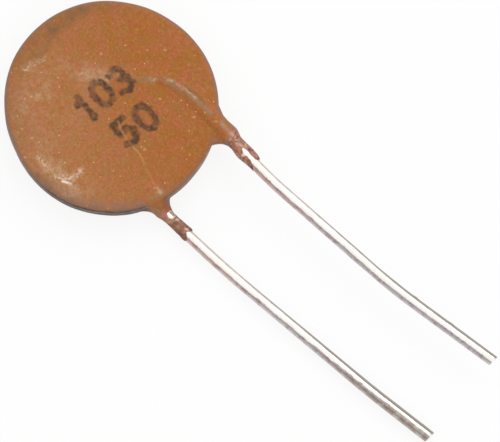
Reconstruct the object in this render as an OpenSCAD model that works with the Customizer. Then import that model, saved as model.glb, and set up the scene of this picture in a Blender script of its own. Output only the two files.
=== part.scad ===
// Dipped ceramic disc capacitor with two radial leads, millimetres.
// It lies on its back: +Z is up out of the front face, +X runs along the leads towards their cut
// ends, and the origin is the centre of the flat back face.
// Each lead is laid out in the frame of its own side: the rear side is the front side turned half
// a turn about the body's middle line, so one set of modules makes both. In that frame a positive
// angle splays the lead outwards and a negative one brings it in.

/* [Ceramic disc] */
// Diameter of the fired ceramic disc
ceramic_d = 9.8; // [8:0.1:12]
// Thickness of the fired ceramic disc
ceramic_t = 0.5; // [0.3:0.05:0.9]
// Bare margin between the disc's edge and its silvered area
electrode_margin = 0.5; // [0.3:0.05:0.8]
// Thickness of each silver film
electrode_t = 0.03; // [0.02:0.01:0.05]

/* [Dipped coating] */
// Coating over each flat face
face_coat = 0.57; // [0.5:0.01:0.7]
// Coating outside the disc's edge
rim_coat = 0.7; // [0.5:0.05:1]
// Radius of the rounded shoulders of the rim
shoulder_r = 0.3; // [0.2:0.05:0.5]
// Coating over the crest of each buried wire
crest_coat = 0.14; // [0.1:0.01:0.25]
// Radius of the hollow at each foot of the ridges
ridge_foot_r = 0.6; // [0.4:0.05:0.8]

/* [Leads] */
// Diameter of the tinned copper wire
wire_d = 0.6; // [0.5:0.05:0.65]
// Distance between the two leads beside the body
lead_pitch = 5; // [4:0.1:5.5]
// Distance past the rim at which the pitch is set
pitch_reach = 1.3; // [1.1:0.1:1.6]
// Length of each lead's straight run outwards from the pitch line
run_out = 1; // [0.9:0.1:1.5]
// Radius of the bend under the coating
hook_r = 3.6; // [3:0.1:4.5]
// Length of wire soldered down past the bend
solder_run = 1.9; // [1.2:0.1:2.4]

/* [Front lead] */
// Splay of the front lead where it leaves the body
front_splay = -7; // [-8:0.5:4]
// Angle of the front lead's bend under the coating
front_hook = 48; // [35:1:55]
// Length of the front lead's straight run inwards from the pitch line
front_run_in = 4; // [3.6:0.1:4.4]
// Turn of the front lead's first bow
front_first_bow = 5; // [1:0.5:6]
// Turn of the front lead's second bow
front_second_bow = 5; // [1:0.5:6]
// Length of the front lead's first bow
front_first_length = 2; // [1:0.5:4]
// Length of the front lead between its bows
front_middle = 6; // [3:0.5:10]
// Length of the front lead's second bow
front_second_length = 3; // [1:0.5:6]
// Length of the straight end of the front lead
front_tip = 4.9; // [3:0.1:8]

/* [Rear lead] */
// Splay of the rear lead where it leaves the body
rear_splay = 4; // [-2:0.5:6]
// Angle of the rear lead's bend under the coating
rear_hook = 45; // [35:1:55]
// Length of the rear lead's straight run inwards from the pitch line
rear_run_in = 4.3; // [3.6:0.1:4.6]
// Turn of the rear lead's first bow
rear_first_bow = -3.5; // [-6:0.1:-0.5]
// Turn of the rear lead's second bow
rear_second_bow = -2; // [-6:0.1:-0.5]
// Length of the rear lead's first bow
rear_first_length = 4; // [1:0.5:4]
// Length of the rear lead between its bows
rear_middle = 7; // [3:0.5:10]
// Length of the rear lead's second bow
rear_second_length = 2; // [1:0.5:6]
// Length of the straight end of the rear lead
rear_tip = 2.8; // [2.4:0.1:8]

/* [Necks] */
// Coating round the front wire where it leaves the body
front_sleeve = 0.08; // [0.06:0.01:0.2]
// Coating round the rear wire where it leaves the body
rear_sleeve = 0.06; // [0.05:0.01:0.2]
// How far the front sleeve runs out past the pitch line
front_sleeve_end = 0.85; // [0.3:0.05:0.9]
// How far the rear sleeve runs out past the pitch line
rear_sleeve_end = 0.55; // [0.3:0.05:0.9]
// Radius of the web outside each lead
outer_web_r = 1.1; // [0.6:0.05:1.4]
// Radius of the web between the leads
inner_web_r = 0.45; // [0.3:0.05:0.7]
// Coating left round the wire at the ragged end of a sleeve
sleeve_lip = 0.03; // [0.02:0.01:0.05]

/* [Solder] */
// Solder between each wire and its silver film
solder_film = 0.03; // [0.02:0.01:0.05]
// Half width of the solder on the silver film
solder_half_w = 0.75; // [0.6:0.05:0.85]
// Half width of the solder where it meets the wire
solder_top_half_w = 0.24; // [0.2:0.01:0.26]
// Height of the solder beside the wire
solder_h = 0.36; // [0.3:0.01:0.4]

/* [Hidden] */
$fn = 96;

// Levels, counted from the middle of the ceramic disc
film_z = ceramic_t / 2;
silver_z = film_z + electrode_t;
face_z = silver_z + face_coat;
wire_r = wire_d / 2;
wire_z = silver_z + solder_film + wire_r;
crest_r = wire_r + crest_coat;
wall_z = face_z - shoulder_r;

body_r = ceramic_d / 2 + rim_coat;
electrode_r = ceramic_d / 2 - electrode_margin;
pitch_x = body_r + pitch_reach;

// How far surfaces that meet smoothly are let into each other, so that they cross cleanly
bite = 0.03;
// How much thinner each bow of a swept piece is than the straights that reach over its ends
bow_relief = 0.002;
// Stations along each web and each sleeve, and points round each section
web_stations = 12;
sleeve_stations = 5;
section_points = 28;
// Squareness of a web's section at the body, above and below the wire; 2 is an ellipse
web_top_power = 1.4;
web_under_power = 2.4;

// A lead: splay, hook angle, run in, bows and lengths out, sleeve wall and sleeve reach
FRONT = [
    front_splay, front_hook, front_run_in,
    [
        [front_first_length, front_first_bow], [front_middle, 0],
        [front_second_length, front_second_bow], [front_tip, 0]
    ],
    front_sleeve, front_sleeve_end
];
REAR = [
    rear_splay, rear_hook, rear_run_in,
    [
        [rear_first_length, rear_first_bow], [rear_middle, 0],
        [rear_second_length, rear_second_bow], [rear_tip, 0]
    ],
    rear_sleeve, rear_sleeve_end
];
function splay(lead) = lead[0];
function hook(lead) = lead[1];
function run_in(lead) = lead[2];
function way_out(lead) = lead[3];
function sleeve_r(lead) = wire_r + lead[4];
function sleeve_end(lead) = lead[5];

// Where a lead's straight run lies once the side is turned by its splay:
// its distance from the body's centre, and the pitch line's place along it
function run_y(lead) = lead_pitch / 2 * cos(splay(lead)) - pitch_x * sin(splay(lead));
function run_x(lead) = pitch_x * cos(splay(lead)) + lead_pitch / 2 * sin(splay(lead));

// Places children in a lead's own frame: wire axis along X, body centre at y = -run_y
module in_run(lead, rear) {
    translate([0, 0, face_z])
        rotate([rear ? 180 : 0, 0, 0])
            rotate(splay(lead))
                translate([0, run_y(lead), wire_z]) children();
}

// ---- Following a path of [length, turn] pieces with a flat section ----

module straight(length) {
    rotate([90, 0, 90]) linear_extrude(length) children();
}

module bow(length, turn) {
    r = abs(length / turn * 180 / PI);
    if (turn > 0)
        translate([0, r, 0]) rotate(-90)
            rotate_extrude(angle = turn) translate([r, 0]) mirror([1, 0]) children();
    else
        translate([0, -r, 0]) rotate(90 + turn)
            rotate_extrude(angle = -turn) translate([r, 0]) children();
}

module past(length, turn) {
    if (turn == 0) {
        translate([length, 0, 0]) children();
    } else {
        r = length / turn * 180 / PI;
        translate([r * sin(turn), r * (1 - cos(turn)), 0]) rotate(turn) children();
    }
}

// Straights take the first child as their section and reach over the bows beside them. Bows take
// the second, which is thinner by the relief.
module follow(path, i = 0) {
    if (i < len(path)) {
        over = i < len(path) - 1 ? bite : 0;
        if (path[i][1] == 0) translate([-bite, 0, 0]) straight(path[i][0] + bite + over) children(0);
        else bow(path[i][0], path[i][1]) children(1);
        past(path[i][0], path[i][1]) follow(path, i + 1) { children(0); children(1); }
    }
}

function hook_length(lead) = hook_r * hook(lead) * PI / 180;

// Places children at the outer end of a lead's straight run, facing out
module at_run_out(lead, rear) {
    in_run(lead, rear) translate([run_x(lead) + run_out, 0, 0]) children();
}

// Places children at the inner end of a lead's straight run, facing in
module at_run_in(lead, rear) {
    in_run(lead, rear) translate([run_x(lead) - run_in(lead), 0, 0]) rotate(180) children();
}

// ---- Leads ----

module wire(lead, rear) {
    run = run_in(lead) + run_out;
    at_run_in(lead, rear) translate([-run - bite, 0, 0]) straight(run + 2 * bite) circle(wire_r);
    at_run_in(lead, rear) follow([[hook_length(lead), hook(lead)], [solder_run, 0]]) {
        circle(wire_r);
        circle(wire_r - bow_relief);
    }
    at_run_out(lead, rear) follow(way_out(lead)) {
        circle(wire_r);
        circle(wire_r - bow_relief);
    }
}

module front_lead() {
    color("gainsboro") wire(FRONT, false);
}

module rear_lead() {
    color("lightgray") wire(REAR, true);
}

// ---- Ceramic disc and its silver films ----

module ceramic_disc() {
    color("tan") translate([0, 0, face_z]) cylinder(r = ceramic_d / 2, h = ceramic_t, center = true);
}

module silver_film(rear) {
    translate([0, 0, face_z]) rotate([rear ? 180 : 0, 0, 0])
        translate([0, 0, film_z]) cylinder(r = electrode_r, h = electrode_t);
}

module front_electrode() {
    color("silver") silver_film(false);
}

module rear_electrode() {
    color("silver") silver_film(true);
}

// ---- Solder, banked up on both sides of each wire and round its end ----

// The section stands on the silver film, and its origin is the wire's axis
module solder_section() {
    foot = silver_z - wire_z;
    polygon([
        [-solder_half_w, foot], [solder_half_w, foot],
        [solder_top_half_w, foot + solder_h], [-solder_top_half_w, foot + solder_h]
    ]);
}

module solder_bank(lead, rear) {
    at_run_in(lead, rear) past(hook_length(lead), hook(lead)) {
        straight(solder_run) solder_section();
        past(solder_run, 0) rotate_extrude() intersection() {
            solder_section();
            translate([0, -wire_z]) square([solder_half_w, 2 * wire_z]);
        }
    }
}

module solder(lead, rear) {
    difference() {
        solder_bank(lead, rear);
        wire(lead, rear);
    }
}

module front_solder() {
    color("darkgray") solder(FRONT, false);
}

module rear_solder() {
    color("darkgray") solder(REAR, true);
}

// ---- Dipped coating ----

// Half of the body's section: flat faces, rounded shoulders and an upright wall
module body_section() {
    translate([0, -face_z]) square([body_r - shoulder_r, 2 * face_z]);
    translate([0, -wall_z]) square([body_r, 2 * wall_z]);
    for (s = [-1, 1]) translate([body_r - shoulder_r, s * wall_z]) circle(shoulder_r);
}

// Section of the ridge over a buried wire: a round crest between two hollow feet that run out
// on the face. Its origin is the wire's axis, and it is thinner all round by a relief.
module ridge_section(relief) {
    top_r = crest_r - relief;
    hollow_r = ridge_foot_r + relief;
    foot_y = face_z - wire_z + ridge_foot_r - bite;
    foot_x = sqrt(pow(top_r + hollow_r, 2) - pow(foot_y, 2));
    shared_y = foot_y * top_r / (top_r + hollow_r);
    circle(top_r);
    difference() {
        translate([-foot_x, 0]) square([2 * foot_x, shared_y]);
        for (s = [-1, 1]) translate([s * foot_x, foot_y]) circle(hollow_r);
    }
}

// The ridge stops at the rim's shoulder, and the neck takes over from there
module ridge(lead, rear) {
    run = run_in(lead) - run_x(lead) + body_r;
    intersection() {
        at_run_in(lead, rear) {
            translate([-run, 0, 0]) straight(run + bite) ridge_section(0);
            follow([[hook_length(lead), hook(lead)], [solder_run + bite, 0]]) {
                ridge_section(0);
                ridge_section(bow_relief);
            }
            past(hook_length(lead), hook(lead)) past(solder_run, 0) rotate_extrude() intersection() {
                ridge_section(bow_relief);
                translate([0, -wire_z]) square([body_r, 2 * wire_z]);
            }
        }
        cylinder(r = body_r - shoulder_r + bite, h = 4 * face_z, center = true);
    }
}

// Plan of a neck. Each web is an arc that touches the body's edge and the sleeve's side.
// side_y is the distance from the body's centre line to that side of the sleeve.
function web_x(side_y, r) = sqrt(pow(body_r + r - bite, 2) - pow(side_y, 2));
function outer_x(lead) = web_x(run_y(lead) + sleeve_r(lead) + outer_web_r, outer_web_r);
function inner_x(lead) = web_x(run_y(lead) - sleeve_r(lead) - inner_web_r, inner_web_r);
function touch_x(centre_x, r) = centre_x * (body_r - bite) / (body_r + r - bite);
function web_start(lead) = touch_x(outer_x(lead), outer_web_r);
function inner_touch(lead) = touch_x(inner_x(lead), inner_web_r);
function web_end(lead) = max(outer_x(lead), inner_x(lead)) + inner_web_r;
function arc_side(x, centre_x, r) = r - sqrt(pow(r, 2) - pow(min(r, max(0, centre_x - x)), 2));

// Reach of the neck's section from the wire's axis at x: outwards, inwards, up and down
function outer_side(lead, x) = sleeve_r(lead) + arc_side(x, outer_x(lead), outer_web_r);
function inner_side(lead, x) =
    sleeve_r(lead) + arc_side(max(x, inner_touch(lead)), inner_x(lead), inner_web_r);
function web_share(lead, x) = (web_end(lead) - x) / (web_end(lead) - web_start(lead));
function top_side(lead, x) =
    sleeve_r(lead) - (sleeve_r(lead) - crest_r + bite) * pow(web_share(lead, x), 2);
function under_side(lead, x) =
    sleeve_r(lead) + (wire_z + wall_z - sleeve_r(lead)) * pow(web_share(lead, x), 2);

function power_of(cosine, power) = sign(cosine) * pow(abs(cosine), 2 / power);
function web_power(lead, x, at_body) = 2 + (at_body - 2) * web_share(lead, x);

function web_ring(lead, x) = [
    for (i = [0 : section_points - 1])
        let (
            a = 360 * i / section_points,
            up = sin(a) >= 0,
            power = web_power(lead, x, up ? web_top_power : web_under_power),
            wide = cos(a) >= 0 ? outer_side(lead, x) : inner_side(lead, x),
            high = up ? top_side(lead, x) : under_side(lead, x)
        )
        [x, wide * power_of(cos(a), power), high * power_of(sin(a), power)]
];

// The sleeve thins from its wall to its lip with a rounded shoulder
function sleeve_ring(lead, share) =
    let (
        x0 = web_end(lead),
        x = x0 + share * (run_x(lead) + sleeve_end(lead) - x0),
        lip_r = wire_r + sleeve_lip,
        r = lip_r + (sleeve_r(lead) - lip_r) * sqrt(1 - pow(share, 3))
    )
    [for (i = [0 : section_points - 1])
        [x, r * cos(360 * i / section_points), r * sin(360 * i / section_points)]];

function neck_rings(lead) = concat(
    [for (i = [0 : web_stations])
        web_ring(lead, web_start(lead)
            + (web_end(lead) - web_start(lead)) * i / web_stations)],
    [for (i = [1 : sleeve_stations]) sleeve_ring(lead, i / sleeve_stations)]
);

// A closed skin over rings of equally many points, turning from +Y towards +Z
module skin(rings) {
    n = len(rings[0]);
    last = len(rings) - 1;
    points = [for (ring = rings) for (p = ring) p];
    sides = [
        for (j = [0 : last - 1]) for (i = [0 : n - 1])
            let (a = j * n + i, b = j * n + (i + 1) % n)
            each [[a, a + n, b], [b, a + n, b + n]]
    ];
    start = [[for (i = [0 : n - 1]) i]];
    end = [[for (i = [n - 1 : -1 : 0]) last * n + i]];
    polyhedron(points, concat(sides, start, end));
}

module neck(lead, rear) {
    in_run(lead, rear) skin(neck_rings(lead));
}

module coating() {
    color("peru") difference() {
        union() {
            translate([0, 0, face_z]) rotate_extrude() body_section();
            ridge(FRONT, false);
            ridge(REAR, true);
            neck(FRONT, false);
            neck(REAR, true);
        }
        translate([0, 0, face_z]) cylinder(r = ceramic_d / 2, h = ceramic_t, center = true);
        silver_film(false);
        silver_film(true);
        solder_bank(FRONT, false);
        solder_bank(REAR, true);
        wire(FRONT, false);
        wire(REAR, true);
    }
}

coating();
ceramic_disc();
front_electrode();
rear_electrode();
front_solder();
rear_solder();
front_lead();
rear_lead();
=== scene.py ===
"""A dipped ceramic disc capacitor that lies on a pale table.

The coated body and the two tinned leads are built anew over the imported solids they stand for, and
the sealed inner pieces keep their solids and get their finishes. Sizes are in millimetres and
degrees until a mesh is finished, and every mesh ends in metres in the part's own frame.
"""

from __future__ import annotations

import logging
import math
from dataclasses import dataclass
from enum import Enum
from typing import Callable, Iterable, NamedTuple, Sequence

import bmesh
import bpy
import numpy as np
from mathutils import Matrix, Vector, noise


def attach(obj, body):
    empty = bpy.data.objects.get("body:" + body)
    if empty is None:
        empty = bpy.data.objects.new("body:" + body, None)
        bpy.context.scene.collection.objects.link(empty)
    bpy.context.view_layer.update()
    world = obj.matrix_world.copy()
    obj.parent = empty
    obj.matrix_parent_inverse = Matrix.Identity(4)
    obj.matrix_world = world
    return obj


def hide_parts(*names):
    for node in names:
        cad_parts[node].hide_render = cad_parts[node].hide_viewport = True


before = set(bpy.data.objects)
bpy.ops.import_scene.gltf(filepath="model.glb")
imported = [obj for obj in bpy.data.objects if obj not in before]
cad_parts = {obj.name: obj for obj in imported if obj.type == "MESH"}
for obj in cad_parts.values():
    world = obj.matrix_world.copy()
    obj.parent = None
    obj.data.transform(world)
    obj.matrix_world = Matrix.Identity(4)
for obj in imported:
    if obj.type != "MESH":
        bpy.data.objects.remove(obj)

log = logging.getLogger("capacitor")

MM = 0.001
# How far apart the fields of the fractal noise lie for each step of a seed
SEED_STEP = (7.31, 3.17, 5.73)

Point2 = tuple[float, float]
Colour = tuple[float, float, float]
Socket = bpy.types.NodeSocket
Verts = list[bmesh.types.BMVert]


# ---- Small shared tools ----


def ease(value: np.ndarray, low: float, high: float) -> np.ndarray:
    """Smooth step.

    Args:
        value: numbers to map.
        low: where the result is 0.
        high: where the result is 1; it may lie below low.

    Returns:
        A number from 0 to 1 for each value.
    """
    t = np.clip((value - low) / (high - low), 0.0, 1.0)
    return t * t * (3.0 - 2.0 * t)


def grain(points: np.ndarray, per_mm: float, seed: float, octaves: int = 3) -> np.ndarray:
    """Fractal noise at points.

    Args:
        points: an array of places, one a row, in millimetres.
        per_mm: how many bumps go to a millimetre.
        seed: an offset that makes one field differ from another.
        octaves: how many finer layers are added.

    Returns:
        A number of about -1 to 1 for each point.
    """
    shift = Vector([seed * step for step in SEED_STEP])
    rows = (Vector(p) * per_mm + shift for p in points.tolist())
    return np.array([noise.fractal(row, 0.6, 2.0, octaves) for row in rows])


def vectors(items: bpy.types.bpy_prop_collection, name: str) -> np.ndarray:
    """Reads one vector an item.

    Args:
        items: a mesh's vertices or its vertex normals.
        name: what is read of each.

    Returns:
        An array with one item a row.
    """
    flat = np.empty(len(items) * 3, dtype=np.float32)
    items.foreach_get(name, flat)
    return flat.reshape(-1, 3).astype(float)


def set_places(mesh: bpy.types.Mesh, points: np.ndarray) -> None:
    """Moves the vertices of a mesh to an array of places, one a row."""
    mesh.vertices.foreach_set("co", points.astype(np.float32).ravel())
    mesh.update()


def set_layer(mesh: bpy.types.Mesh, name: str, channels: Sequence[np.ndarray]) -> None:
    """Stores up to three painted masks as one colour attribute.

    Args:
        mesh: the mesh to paint.
        name: the attribute's name.
        channels: masks of one number a vertex.
    """
    layer = mesh.attributes.new(name, "FLOAT_COLOR", "POINT")
    data = np.zeros((len(mesh.vertices), 4), dtype=np.float32)
    data[:, 3] = 1.0
    for i, mask in enumerate(channels):
        data[:, i] = np.clip(mask, 0.0, 1.0)
    layer.data.foreach_set("color", data.ravel())


def ring_edges(verts: Iterable[bmesh.types.BMVert]) -> list[bmesh.types.BMEdge]:
    """Edges whose two ends both lie in one ring of vertices."""
    ring = set(verts)
    return list({e for v in ring for e in v.link_edges if e.other_vert(v) in ring})


def sweep(
    bm: bmesh.types.BMesh, verts: Verts, steps: int, carry: Callable[[int, Verts], None]
) -> Verts:
    """Extrudes a ring step by step and closes both ends.

    Args:
        bm: the mesh under construction.
        verts: the first ring's vertices.
        steps: how many steps are made.
        carry: takes a step's number and its new ring, and moves that ring on.

    Returns:
        All vertices of the swept piece.
    """
    made = list(verts)
    first = ring = ring_edges(verts)
    for step in range(steps):
        grown = bmesh.ops.extrude_edge_only(bm, edges=ring)["geom"]
        new = [g for g in grown if isinstance(g, bmesh.types.BMVert)]
        carry(step, new)
        made += new
        ring = ring_edges(new)
    bmesh.ops.holes_fill(bm, edges=first + ring, sides=0)
    return made


def sweep_along(bm: bmesh.types.BMesh, verts: Verts, stations: Sequence[Matrix]) -> None:
    """Sweeps a ring, which lies at the first station, through the others."""
    moves = [b @ a.inverted() for a, b in zip(stations, stations[1:])]
    sweep(bm, verts, len(moves), lambda i, new: bmesh.ops.transform(bm, matrix=moves[i], verts=new))


def spin_round(bm: bmesh.types.BMesh, profile: Sequence[Point2], place: Matrix, steps: int) -> None:
    """Turns a half profile a full turn about its upright axis.

    Args:
        bm: the mesh under construction.
        profile: (reach, height) points, the first and last on the axis.
        place: where the piece goes.
        steps: how many steps make the turn.
    """
    held = set(bm.verts)
    verts = [bm.verts.new((x, 0.0, z)) for x, z in profile]
    edges = [bm.edges.new(pair) for pair in zip(verts, verts[1:])]
    bmesh.ops.spin(
        bm, geom=verts + edges, cent=(0, 0, 0), axis=(0, 0, 1), angle=math.tau,
        steps=steps, use_merge=True,
    )
    fresh = [v for v in bm.verts if v not in held]
    bmesh.ops.remove_doubles(bm, verts=fresh, dist=1e-4)
    fresh = [v for v in bm.verts if v not in held]
    bmesh.ops.transform(bm, matrix=place, verts=fresh)


def made_mesh(name: str, bm: bmesh.types.BMesh) -> bpy.types.Mesh:
    """Turns a finished bmesh into a mesh, and frees it."""
    mesh = bpy.data.meshes.new(name)
    bm.to_mesh(mesh)
    bm.free()
    return mesh


def finished(name: str, mesh: bpy.types.Mesh, material: bpy.types.Material) -> bpy.types.Object:
    """Makes a smooth-shaded object, in metres, of a mesh in millimetres.

    Args:
        name: the piece's name.
        mesh: its mesh.
        material: its finish.

    Returns:
        The object, linked to the scene.
    """
    mesh.transform(Matrix.Scale(MM, 4))
    mesh.shade_smooth()
    mesh.materials.append(material)
    return linked(bpy.data.objects.new(name, mesh))


def linked(thing: bpy.types.Object) -> bpy.types.Object:
    """Links an object to the scene."""
    bpy.context.scene.collection.objects.link(thing)
    return thing


# ---- Lead paths ----


class Side(Enum):
    """Side of the body that a wire is soldered to, as the turn from the front."""

    FRONT = 0.0
    REAR = 180.0


@dataclass(frozen=True)
class LeadPath:
    """Centre line of one lead, laid out in its own side's frame."""

    side: Side
    splay: float
    hook: float
    run_in: float
    bows: tuple[Point2, ...]
    run_out: float = 1.0
    hook_r: float = 3.6
    solder_run: float = 1.9
    half_pitch: float = 2.5
    pitch_x: float = 6.9
    wire_z: float = 0.61
    mid_z: float = 0.85

    @property
    def run_y(self) -> float:
        """Distance of the straight run from the body's centre."""
        s = math.radians(self.splay)
        return self.half_pitch * math.cos(s) - self.pitch_x * math.sin(s)

    @property
    def inner_x(self) -> float:
        """Place of the straight run's inner end."""
        s = math.radians(self.splay)
        return self.pitch_x * math.cos(s) + self.half_pitch * math.sin(s) - self.run_in

    def placement(self) -> Matrix:
        """Matrix from the run's frame, whose X is the wire's axis, to the part's frame."""
        flip = Matrix.Rotation(math.radians(self.side.value), 4, "X")
        turn = Matrix.Rotation(math.radians(self.splay), 4, "Z")
        lift = Matrix.Translation((0, self.run_y, self.wire_z))
        return Matrix.Translation((0, 0, self.mid_z)) @ flip @ turn @ lift

    @staticmethod
    def walk(
        start: tuple[float, float, float], pieces: Sequence[Point2], step: float
    ) -> list[tuple[float, float, float]]:
        """Follows straight and bowed pieces on a plane.

        Args:
            start: x, y and heading in degrees.
            pieces: (length, turn) of each piece.
            step: the longest step.

        Returns:
            x, y and heading at each step, the start included.
        """
        x, y, heading = start
        found = [start]
        for length, turn in pieces:
            count = max(1, math.ceil(length / step))
            for _ in range(count):
                middle = math.radians(heading + turn / count / 2)
                x += length / count * math.cos(middle)
                y += length / count * math.sin(middle)
                heading += turn / count
                found.append((x, y, heading))
        return found

    def buried(self, step: float) -> list[Matrix]:
        """Stations from the soldered end to just short of the straight run's inner end.

        Args:
            step: the longest step.

        Returns:
            Matrices in the run's frame, X pointing out of the body.
        """
        hook_length = self.hook_r * math.radians(self.hook)
        pieces = [(hook_length, self.hook), (self.solder_run, 0.0)]
        inward = self.walk((self.inner_x, 0.0, 180.0), pieces, step)
        return [self.station(x, y, h - 180.0) for x, y, h in reversed(inward[1:])]

    def outside(self, step: float) -> list[Matrix]:
        """Stations from the inner end of the straight run to the cut tip.

        Args:
            step: the longest step.

        Returns:
            Matrices in the run's frame, X pointing out of the body.
        """
        run = (self.run_in + self.run_out, 0.0)
        return [self.station(*s) for s in self.walk((self.inner_x, 0.0, 0.0), [run, *self.bows], step)]

    @staticmethod
    def station(x: float, y: float, heading: float) -> Matrix:
        """Matrix of one station from its place and heading."""
        return Matrix.Translation((x, y, 0)) @ Matrix.Rotation(math.radians(heading), 4, "Z")


FRONT_PATH = LeadPath(
    Side.FRONT, splay=-7.0, hook=48.0, run_in=4.0,
    bows=((2.0, 5.0), (6.0, 0.0), (3.0, 5.0), (4.9, 0.0)),
)
REAR_PATH = LeadPath(
    Side.REAR, splay=4.0, hook=45.0, run_in=4.3,
    bows=((4.0, -3.5), (7.0, 0.0), (2.0, -2.0), (2.8, 0.0)),
)


# ---- Finishes ----


class Cloud(NamedTuple):
    """A cloudy amount: its noise, the noise's values between which it rises, and its ends."""

    per_mm: float
    detail: float
    rough: float
    low: float
    high: float
    least: float = 0.0
    most: float = 1.0


class Tone(NamedTuple):
    """A ground colour, and the colours that drift over it in clouds."""

    ground: Colour
    drifts: tuple[tuple[Colour, Cloud], ...] = ()


class Nodes:
    """A node tree, with short calls for the nodes that the finishes and the studio use."""

    def __init__(self, tree: bpy.types.NodeTree) -> None:
        """Keeps the tree."""
        self.tree = tree

    def link(self, value: object, socket: Socket) -> None:
        """Links an output, or sets a constant, on an input socket."""
        if isinstance(value, Socket):
            self.tree.links.new(value, socket)
        else:
            socket.default_value = (*value, 1.0) if isinstance(value, tuple) else value

    def node(self, kind: str, inputs: dict[str | int, object], **settings: object) -> bpy.types.Node:
        """Adds a node.

        Args:
            kind: its type, without the common prefix.
            inputs: a socket or a constant for each input, by name or number.
            settings: the node's own settings.

        Returns:
            The node.
        """
        made = self.tree.nodes.new("ShaderNode" + kind)
        for name, value in settings.items():
            setattr(made, name, value)
        for key, value in inputs.items():
            self.link(value, made.inputs[key])
        return made

    def math(self, kind: str, a: object, b: object, **settings: object) -> Socket:
        """Joins two values by a Math node."""
        return self.node("Math", {0: a, 1: b}, operation=kind, **settings).outputs[0]

    def times(self, a: object, b: object) -> Socket:
        """Multiplies two values."""
        return self.math("MULTIPLY", a, b)

    def plus(self, a: object, b: object, share: float) -> Socket:
        """Adds a share of the second value to the first."""
        return self.math("ADD", a, self.times(b, share))

    def span(
        self, value: Socket, low: float, high: float, to_low: float = 0.0, to_high: float = 1.0
    ) -> Socket:
        """Maps a value smoothly from one span to another.

        Args:
            value: what is mapped.
            low: value that gives to_low.
            high: value that gives to_high.
            to_low: first result.
            to_high: second result.

        Returns:
            The mapped value, held inside the span.
        """
        inputs = {"Value": value, "From Min": low, "From Max": high, "To Min": to_low, "To Max": to_high}
        return self.node("MapRange", inputs, interpolation_type="SMOOTHSTEP").outputs["Result"]

    def layer(self, under: object, over: object, amount: object) -> Socket:
        """Lays one colour over another by an amount."""
        return self.node("Mix", {"Factor": amount, 6: under, 7: over}, data_type="RGBA").outputs[2]

    def straight_rays(self) -> Socket:
        """One for a ray from the camera, from a mirror or through glass, and nothing else."""
        rays = self.node("LightPath", {}).outputs
        found = rays["Is Camera Ray"]
        for name in ("Is Glossy Ray", "Is Transmission Ray"):
            found = self.math("MAXIMUM", found, rays[name])
        return found


class Finish(Nodes):
    """A Principled material whose patterns are measured in millimetres."""

    def __init__(self, name: str) -> None:
        """Starts the material."""
        self.material = bpy.data.materials.new(name)
        self.material.use_nodes = True
        super().__init__(self.material.node_tree)
        self.shader = self.tree.nodes["Principled BSDF"]
        place = self.node("TexCoord", {}).outputs["Object"]
        self.mm = self.node("VectorMath", {0: place, "Scale": 1.0 / MM}, operation="SCALE").outputs[0]
        self.noises: dict[tuple[float, ...], Socket] = {}

    def set(self, **values: object) -> None:
        """Links or sets inputs of the shader; an underscore stands for a space."""
        for name, value in values.items():
            self.link(value, self.shader.inputs[name.replace("_", " ")])

    def noise(self, per_mm: float, detail: float = 3.0, rough: float = 0.55, *stretch: float) -> Socket:
        """Adds a noise pattern, or finds the same one again.

        Args:
            per_mm: how many bumps go to a millimetre.
            detail: how many finer layers it has.
            rough: how strong those layers are.
            stretch: scale along X, Y and Z, or nothing for an even pattern.

        Returns:
            The pattern's value, about 0.5 in the mean.
        """
        key = (per_mm, detail, rough, *stretch)
        if key not in self.noises:
            place = self.mm
            if stretch:
                place = self.node("Mapping", {"Vector": place, "Scale": Vector(stretch)}).outputs[0]
            inputs = {"Vector": place, "Scale": per_mm, "Detail": detail, "Roughness": rough}
            self.noises[key] = self.node("TexNoise", inputs).outputs["Fac"]
        return self.noises[key]

    def cloud(self, cloud: Cloud) -> Socket:
        """Amount of a cloud at each place."""
        return self.span(self.noise(*cloud[:3]), *cloud[3:])

    def tone(self, tone: Tone) -> object:
        """Colour of a tone, with its drifts laid over its ground one by one."""
        colour = tone.ground
        for drift, cloud in tone.drifts:
            colour = self.layer(colour, drift, self.cloud(cloud))
        return colour

    def painted(self, name: str) -> list[Socket]:
        """Reads a painted attribute and returns its three masks."""
        paint = self.node("Attribute", {}, attribute_name=name).outputs["Color"]
        return list(self.node("SeparateColor", {"Color": paint}).outputs)

    def bump(self, height: Socket, depth_mm: float, strength: float) -> Socket:
        """Turns a height into a bumped normal of a real depth."""
        inputs = {"Height": height, "Strength": strength, "Distance": depth_mm * MM}
        return self.node("Bump", inputs).outputs["Normal"]


# Masks that are painted on the coat, as the channels of each attribute; painted shade and highlights lie
# among them
MASKS: dict[str, tuple[str, str, str]] = {
    "soil_and_shade": ("dust", "stain_and_shade", "veil_and_shade"),
    "wear": ("worn", "scuff_and_highlight", "chip_and_highlight"),
    "marks": ("ink", "score", "crease"),
    "edges": ("thin", "lip", "rim_wall_shade"),
    "touches": ("flush", "painted_glint", "moss"),
}


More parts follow.
